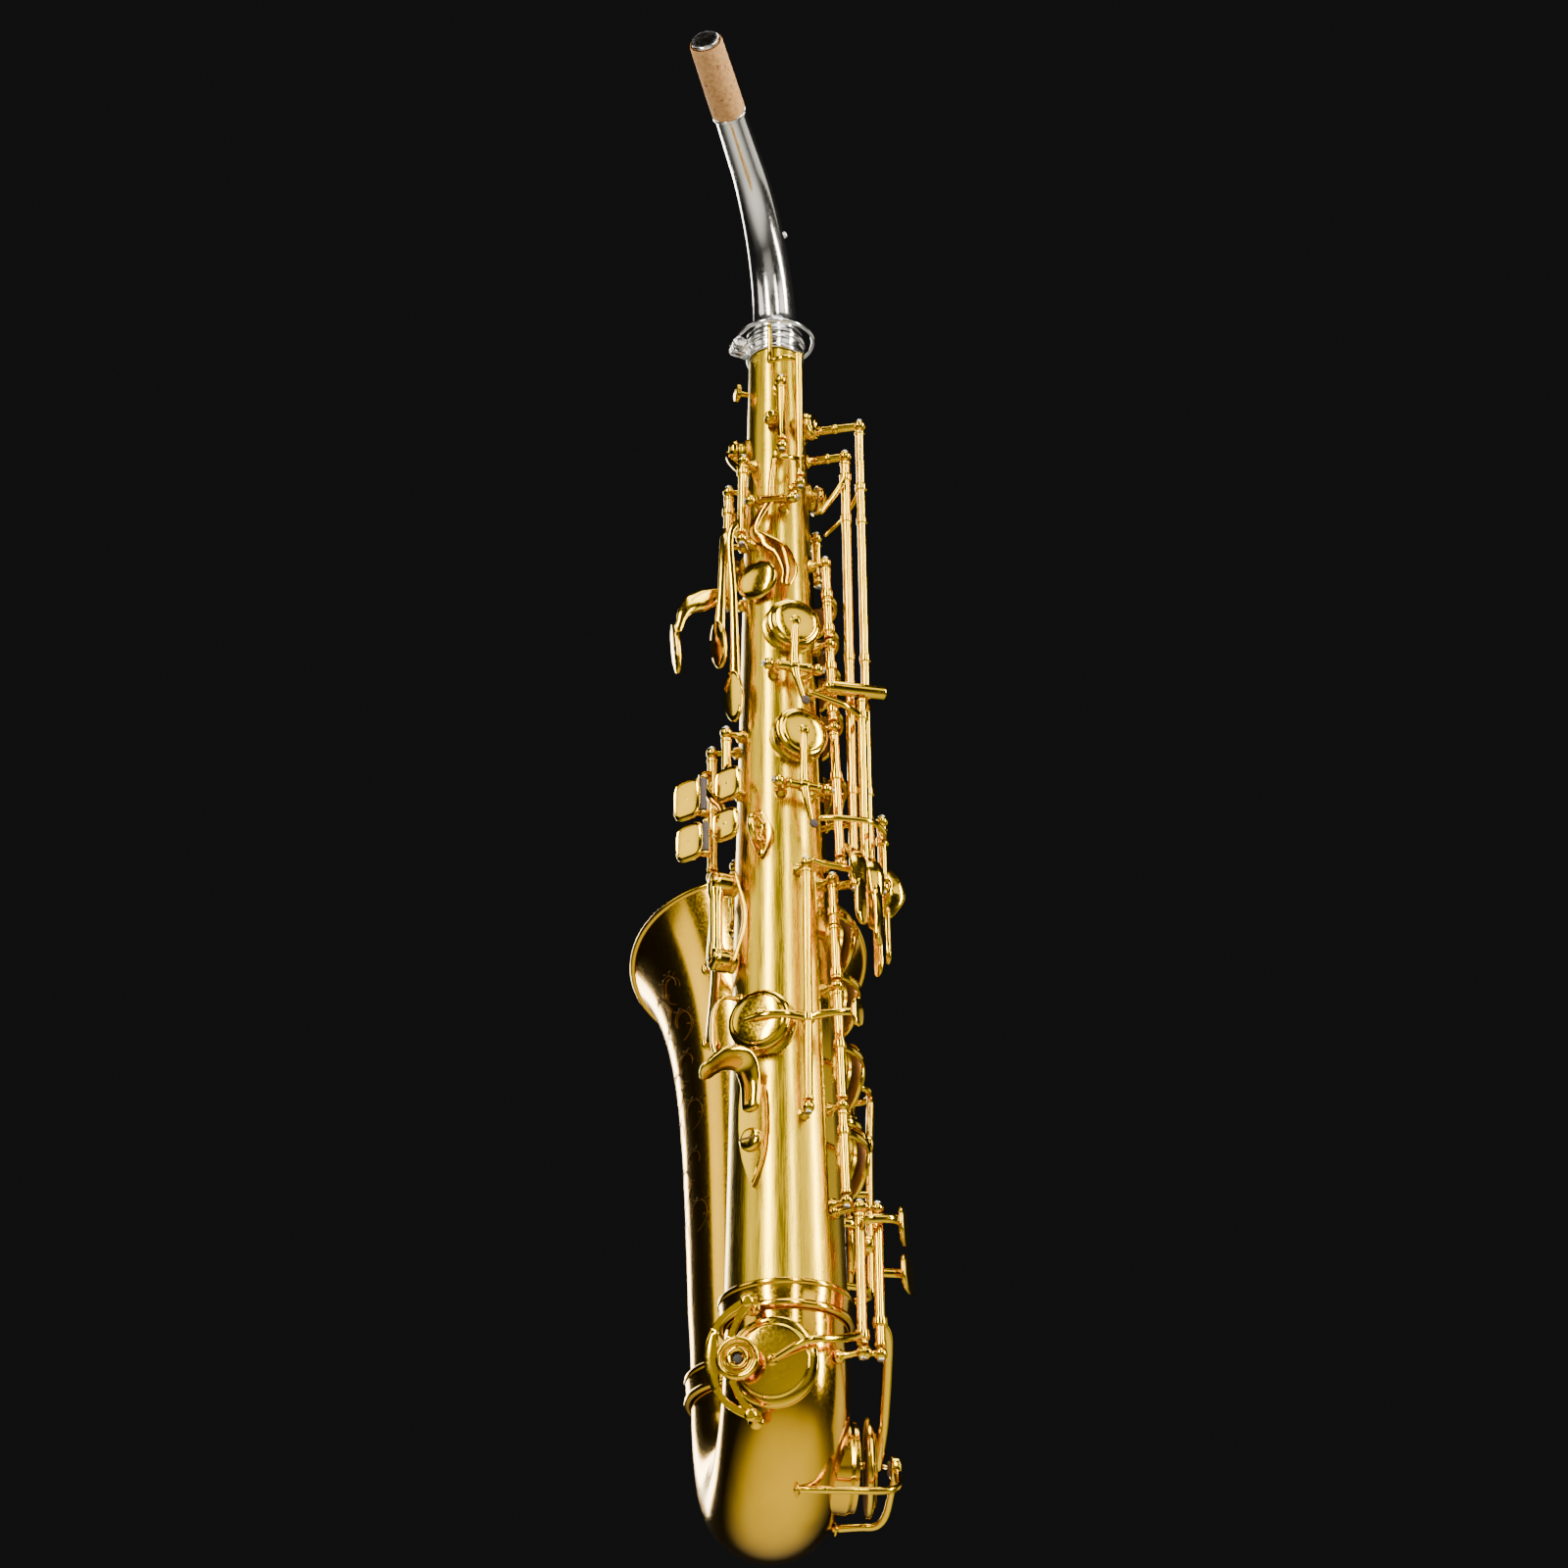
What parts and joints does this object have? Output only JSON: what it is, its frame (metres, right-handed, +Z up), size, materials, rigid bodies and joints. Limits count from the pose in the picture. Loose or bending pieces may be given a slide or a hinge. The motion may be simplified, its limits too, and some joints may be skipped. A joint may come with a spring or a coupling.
{
  "type": "alto saxophone",
  "caption": "Alto saxophone with a curved neck, conical body, U-shaped bow, upturned flared bell and a full set of hinged keys, rods and guards.",
  "frame": {"origin": "centre of the hole of the strap ring on the back of the body tube", "axes": "+Z up the body tube's axis, the thumb side faces -Y, the bell stands on the +Y side and the right-hand side keys are on +X"},
  "size_m": [0.122, 0.3172, 0.7393],
  "materials": {
    "body_lacquer": "satin brushed gold lacquer",
    "bell_lacquer": "polished gold lacquer",
    "key_lacquer": "polished gold lacquer",
    "silver_plate": "bright silver plate",
    "cork": "sanded cork with dark specks",
    "bumper_rubber": "black rubber"
  },
  "bodies": {
    "body": {"body_tube": "body_lacquer", "bow": "bell_lacquer", "bell": "bell_lacquer", "body_bow_ferrule": "bell_lacquer", "bell_bow_ferrule": "bell_lacquer", "bell_brace": "key_lacquer", "neck_receiver": "silver_plate", "neck_clamp_screw": "silver_plate", "lyre_screw": "key_lacquer", "strap_ring": "key_lacquer", "thumb_rest": "key_lacquer", "thumb_hook": "key_lacquer", "thumb_hook_screw": "key_lacquer", "low_eb_guard": "key_lacquer", "low_eb_bumper": "bumper_rubber", "low_c_guard": "key_lacquer", "bell_key_guard": "key_lacquer", "f_sharp_trill_guard": "key_lacquer", "side_key_foot_bracket": "key_lacquer", "side_key_top_bracket": "key_lacquer", "side_e_top_bracket": "key_lacquer", "side_key_bridge": "key_lacquer"},
    "neck": {"neck_tube": "silver_plate", "neck_cork": "cork"},
    "a_key": {"a_key": "key_lacquer"},
    "b_key": {"b_key": "key_lacquer"},
    "bis_key": {"bis_key": "key_lacquer"},
    "c_key": {"c_key": "key_lacquer"},
    "d_key": {"d_key": "key_lacquer"},
    "e_key": {"e_key": "key_lacquer"},
    "f_key": {"f_key": "key_lacquer"},
    "f_sharp_key": {"f_sharp_key": "key_lacquer"},
    "f_sharp_trill_key": {"f_sharp_trill_key": "key_lacquer"},
    "front_f_key": {"front_f_key": "key_lacquer"},
    "g_key": {"g_key": "key_lacquer"},
    "g_sharp_key": {"g_sharp_key": "key_lacquer"},
    "g_sharp_touch": {"g_sharp_touch": "key_lacquer"},
    "high_f_sharp_key": {"high_f_sharp_key": "key_lacquer"},
    "low_b_key": {"low_b_key": "key_lacquer"},
    "low_b_touch": {"low_b_touch": "key_lacquer"},
    "low_bb_key": {"low_bb_key": "key_lacquer"},
    "low_bb_touch": {"low_bb_touch": "key_lacquer"},
    "low_c_key": {"low_c_key": "key_lacquer"},
    "low_c_sharp_key": {"low_c_sharp_key": "key_lacquer"},
    "low_c_sharp_touch": {"low_c_sharp_touch": "key_lacquer"},
    "low_eb_key": {"low_eb_key": "key_lacquer"},
    "neck_octave_key": {"neck_octave_key": "silver_plate"},
    "octave_pin_lever": {"octave_pin_lever": "key_lacquer"},
    "octave_thumb_lever": {"octave_thumb_lever": "key_lacquer"},
    "octave_vent_key": {"octave_vent_key": "key_lacquer"},
    "palm_d_key": {"palm_d_key": "key_lacquer"},
    "palm_eb_key": {"palm_eb_key": "key_lacquer"},
    "palm_f_key": {"palm_f_key": "key_lacquer"},
    "side_bb_cup": {"side_bb_cup": "key_lacquer"},
    "side_bb_lever": {"side_bb_lever": "key_lacquer"},
    "side_c_cup": {"side_c_cup": "key_lacquer"},
    "side_c_lever": {"side_c_lever": "key_lacquer"},
    "side_e_key": {"side_e_key": "key_lacquer"}
  },
  "joints": [
    {"name": "neck_swivel", "type": "hinge", "parent": "body", "child": "neck", "pos_m": [0.01519, 0.02529, 0.291], "axis": [0, 0, 1], "range_deg": [-25, 25]},
    {"name": "neck_octave_key_hinge", "type": "hinge", "parent": "neck", "child": "neck_octave_key", "pos_m": [0.00741, 0.02204, 0.36818], "axis": [0.9272, -0.3746, 0], "range_deg": [-1.2, 0], "stiffness_Nm_per_rad": 0.05, "springref_deg": 20.05},
    {"name": "octave_thumb_lever_hinge", "type": "hinge", "parent": "body", "child": "octave_thumb_lever", "pos_m": [0.00264, 0.00388, 0.19], "axis": [0.9703, -0.2419, 0], "range_deg": [0, 4], "stiffness_Nm_per_rad": 0.05, "springref_deg": -20.05},
    {"name": "octave_vent_key_hinge", "type": "hinge", "parent": "body", "child": "octave_vent_key", "pos_m": [0.01519, 0.00199, 0.2264], "axis": [0, 0.0278, 0.9996], "range_deg": [0, 8], "stiffness_Nm_per_rad": 0.05, "springref_deg": -20.05},
    {"name": "octave_pin_lever_hinge", "type": "hinge", "parent": "body", "child": "octave_pin_lever", "pos_m": [0.02447, 0.00446, 0.2064], "axis": [0, 0, 1], "range_deg": [0, 3], "stiffness_Nm_per_rad": 0.05, "springref_deg": -20.05},
    {"name": "c_key_hinge", "type": "hinge", "parent": "body", "child": "c_key", "pos_m": [0.0384, 0.01295, 0.137], "axis": [-0.0245, 0.013, 0.9996], "range_deg": [0, 7], "stiffness_Nm_per_rad": 0.05, "springref_deg": -20.05},
    {"name": "b_key_hinge", "type": "hinge", "parent": "body", "child": "b_key", "pos_m": [0.0389, 0.01268, 0.1164], "axis": [-0.0245, 0.013, 0.9996], "range_deg": [0, 7], "stiffness_Nm_per_rad": 0.05, "springref_deg": -20.05},
    {"name": "bis_key_hinge", "type": "hinge", "parent": "body", "child": "bis_key", "pos_m": [0.03955, 0.01234, 0.09], "axis": [-0.0245, 0.013, 0.9996], "range_deg": [0, 7], "stiffness_Nm_per_rad": 0.05, "springref_deg": -20.05},
    {"name": "a_key_hinge", "type": "hinge", "parent": "body", "child": "a_key", "pos_m": [0.04008, 0.01205, 0.0684], "axis": [-0.0245, 0.013, 0.9996], "range_deg": [0, 7], "stiffness_Nm_per_rad": 0.05, "springref_deg": -20.05},
    {"name": "g_key_hinge", "type": "hinge", "parent": "body", "child": "g_key", "pos_m": [0.04194, 0.01106, -0.0076], "axis": [-0.0245, 0.013, 0.9996], "range_deg": [0, 7], "stiffness_Nm_per_rad": 0.05, "springref_deg": -20.05},
    {"name": "f_sharp_key_hinge", "type": "hinge", "parent": "body", "child": "f_sharp_key", "pos_m": [0.03743, 0.00305, -0.049], "axis": [-0.0196, 0.0196, 0.9996], "range_deg": [0, 7], "stiffness_Nm_per_rad": 0.05, "springref_deg": -20.05},
    {"name": "f_key_hinge", "type": "hinge", "parent": "body", "child": "f_key", "pos_m": [0.03799, 0.00249, -0.0776], "axis": [-0.0196, 0.0196, 0.9996], "range_deg": [0, 7], "stiffness_Nm_per_rad": 0.05, "springref_deg": -20.05},
    {"name": "e_key_hinge", "type": "hinge", "parent": "body", "child": "e_key", "pos_m": [0.03921, 0.00127, -0.1396], "axis": [-0.0196, 0.0196, 0.9996], "range_deg": [0, 7], "stiffness_Nm_per_rad": 0.05, "springref_deg": -20.05},
    {"name": "d_key_hinge", "type": "hinge", "parent": "body", "child": "d_key", "pos_m": [0.04015, 0.00033, -0.1876], "axis": [-0.0196, 0.0196, 0.9996], "range_deg": [0, 7], "stiffness_Nm_per_rad": 0.05, "springref_deg": -20.05},
    {"name": "palm_d_key_hinge", "type": "hinge", "parent": "body", "child": "palm_d_key", "pos_m": [-0.01086, 0.0262, 0.1444], "axis": [0.0278, -0.001, 0.9996], "range_deg": [0, 8], "stiffness_Nm_per_rad": 0.05, "springref_deg": -20.05},
    {"name": "palm_eb_key_hinge", "type": "hinge", "parent": "body", "child": "palm_eb_key", "pos_m": [-0.00989, 0.02616, 0.1794], "axis": [0.0278, -0.001, 0.9996], "range_deg": [0, 8], "stiffness_Nm_per_rad": 0.05, "springref_deg": -20.05},
    {"name": "palm_f_key_hinge", "type": "hinge", "parent": "body", "child": "palm_f_key", "pos_m": [-0.00442, 0.01104, 0.1744], "axis": [0.0225, 0.0163, 0.9996], "range_deg": [0, 8], "stiffness_Nm_per_rad": 0.05, "springref_deg": -20.05},
    {"name": "side_e_key_hinge", "type": "hinge", "parent": "body", "child": "side_e_key", "pos_m": [0.05692, 0.01488, -0.0164], "axis": [0, 0, 1], "range_deg": [-6, 0], "stiffness_Nm_per_rad": 0.08, "springref_deg": 20.05},
    {"name": "high_f_sharp_key_hinge", "type": "hinge", "parent": "body", "child": "high_f_sharp_key", "pos_m": [0.04896, 0.01432, -0.0164], "axis": [0, 0, 1], "range_deg": [0, 6], "stiffness_Nm_per_rad": 0.08, "springref_deg": -20.05},
    {"name": "side_c_lever_hinge", "type": "hinge", "parent": "body", "child": "side_c_lever", "pos_m": [0.05339, 0.00666, -0.0164], "axis": [0, 0, 1], "range_deg": [-8, 0], "stiffness_Nm_per_rad": 0.05, "springref_deg": 20.05},
    {"name": "side_c_cup_hinge", "type": "hinge", "parent": "body", "child": "side_c_cup", "pos_m": [0.01005, -0.00279, 0.09], "axis": [0.9903, 0.1392, 0], "range_deg": [0, 10.5], "stiffness_Nm_per_rad": 0.05, "springref_deg": -20.05},
    {"name": "side_bb_lever_hinge", "type": "hinge", "parent": "body", "child": "side_bb_lever", "pos_m": [0.06345, 0.01678, -0.0164], "axis": [0, 0, 1], "range_deg": [-5, 0], "stiffness_Nm_per_rad": 0.05, "springref_deg": 20.05},
    {"name": "side_bb_cup_hinge", "type": "hinge", "parent": "body", "child": "side_bb_cup", "pos_m": [0.01399, -0.005, 0.023], "axis": [0.9659, 0.2588, 0], "range_deg": [0, 9.2], "stiffness_Nm_per_rad": 0.05, "springref_deg": -20.05},
    {"name": "f_sharp_trill_key_hinge", "type": "hinge", "parent": "body", "child": "f_sharp_trill_key", "pos_m": [0.02226, -0.00797, -0.1456], "axis": [0.0103, 0.0346, 0.9993], "range_deg": [0, 6], "stiffness_Nm_per_rad": 0.08, "springref_deg": -20.05},
    {"name": "front_f_key_hinge", "type": "hinge", "parent": "body", "child": "front_f_key", "pos_m": [0.03718, 0.03698, 0.1684], "axis": [-0.0245, -0.013, 0.9996], "range_deg": [0, 6], "stiffness_Nm_per_rad": 0.05, "springref_deg": -20.05},
    {"name": "g_sharp_key_hinge", "type": "hinge", "parent": "body", "child": "g_sharp_key", "pos_m": [-0.00464, 0.04892, -0.0276], "axis": [0.0178, -0.0213, 0.9996], "range_deg": [0, 8], "stiffness_Nm_per_rad": 0.05, "springref_deg": -20.05},
    {"name": "low_eb_key_hinge", "type": "hinge", "parent": "body", "child": "low_eb_key", "pos_m": [0.04584, -0.00042, -0.2604], "axis": [0, 0, 1], "range_deg": [0, 4.5], "stiffness_Nm_per_rad": 0.1, "springref_deg": -20.05},
    {"name": "low_c_key_hinge", "type": "hinge", "parent": "body", "child": "low_c_key", "pos_m": [0.0542, 0.00091, -0.2604], "axis": [0, 0, 1], "range_deg": [0, 5], "stiffness_Nm_per_rad": 0.1, "springref_deg": -20.05},
    {"name": "low_b_key_hinge", "type": "hinge", "parent": "body", "child": "low_b_key", "pos_m": [0.04966, 0.09701, -0.1826], "axis": [0.0177, 0.0738, 0.9971], "range_deg": [0, 7], "stiffness_Nm_per_rad": 0.1, "springref_deg": -20.05},
    {"name": "low_bb_key_hinge", "type": "hinge", "parent": "body", "child": "low_bb_key", "pos_m": [0.05067, 0.10122, -0.1276], "axis": [0.0407, 0.117, 0.9923], "range_deg": [0, 7], "stiffness_Nm_per_rad": 0.1, "springref_deg": -20.05},
    {"name": "low_c_sharp_key_hinge", "type": "hinge", "parent": "body", "child": "low_c_sharp_key", "pos_m": [0.05503, 0.13763, -0.2216], "axis": [0.0183, 0.0683, 0.9975], "range_deg": [-7, 0], "stiffness_Nm_per_rad": 0.1, "springref_deg": 20.05},
    {"name": "low_bb_touch_hinge", "type": "hinge", "parent": "body", "child": "low_bb_touch", "pos_m": [-0.01749, 0.02988, -0.0086], "axis": [0, 0, 1], "range_deg": [0, 8], "stiffness_Nm_per_rad": 0.05, "springref_deg": -20.05},
    {"name": "low_b_touch_hinge", "type": "hinge", "parent": "body", "child": "low_b_touch", "pos_m": [-0.01749, 0.02988, 0.0124], "axis": [0, 0, 1], "range_deg": [0, 8], "stiffness_Nm_per_rad": 0.05, "springref_deg": -20.05},
    {"name": "low_c_sharp_touch_hinge", "type": "hinge", "parent": "body", "child": "low_c_sharp_touch", "pos_m": [-0.01749, 0.02988, 0.0334], "axis": [0, 0, 1], "range_deg": [0, 8], "stiffness_Nm_per_rad": 0.05, "springref_deg": -20.05},
    {"name": "g_sharp_touch_hinge", "type": "hinge", "parent": "body", "child": "g_sharp_touch", "pos_m": [-0.01201, 0.01645, 0.0314], "axis": [0, 0, 1], "range_deg": [0, 8], "stiffness_Nm_per_rad": 0.05, "springref_deg": -20.05}
  ],
  "couplings": [
    {"joint": "neck_octave_key_hinge", "follows": "octave_thumb_lever_hinge", "ratio": -0.28},
    {"joint": "octave_pin_lever_hinge", "follows": "octave_thumb_lever_hinge", "ratio": 0.75},
    {"joint": "side_c_cup_hinge", "follows": "side_c_lever_hinge", "ratio": -1.3},
    {"joint": "side_bb_cup_hinge", "follows": "side_bb_lever_hinge", "ratio": -1.8},
    {"joint": "f_sharp_key_hinge", "follows": "f_key_hinge", "ratio": 1},
    {"joint": "bis_key_hinge", "follows": "a_key_hinge", "ratio": 1},
    {"joint": "c_key_hinge", "follows": "b_key_hinge", "ratio": 1},
    {"joint": "low_b_touch_hinge", "follows": "low_b_key_hinge", "ratio": 1.1},
    {"joint": "low_bb_touch_hinge", "follows": "low_bb_key_hinge", "ratio": 1.1},
    {"joint": "low_c_sharp_touch_hinge", "follows": "low_c_sharp_key_hinge", "ratio": -1.1},
    {"joint": "g_sharp_touch_hinge", "follows": "g_sharp_key_hinge", "ratio": 1}
  ]
}
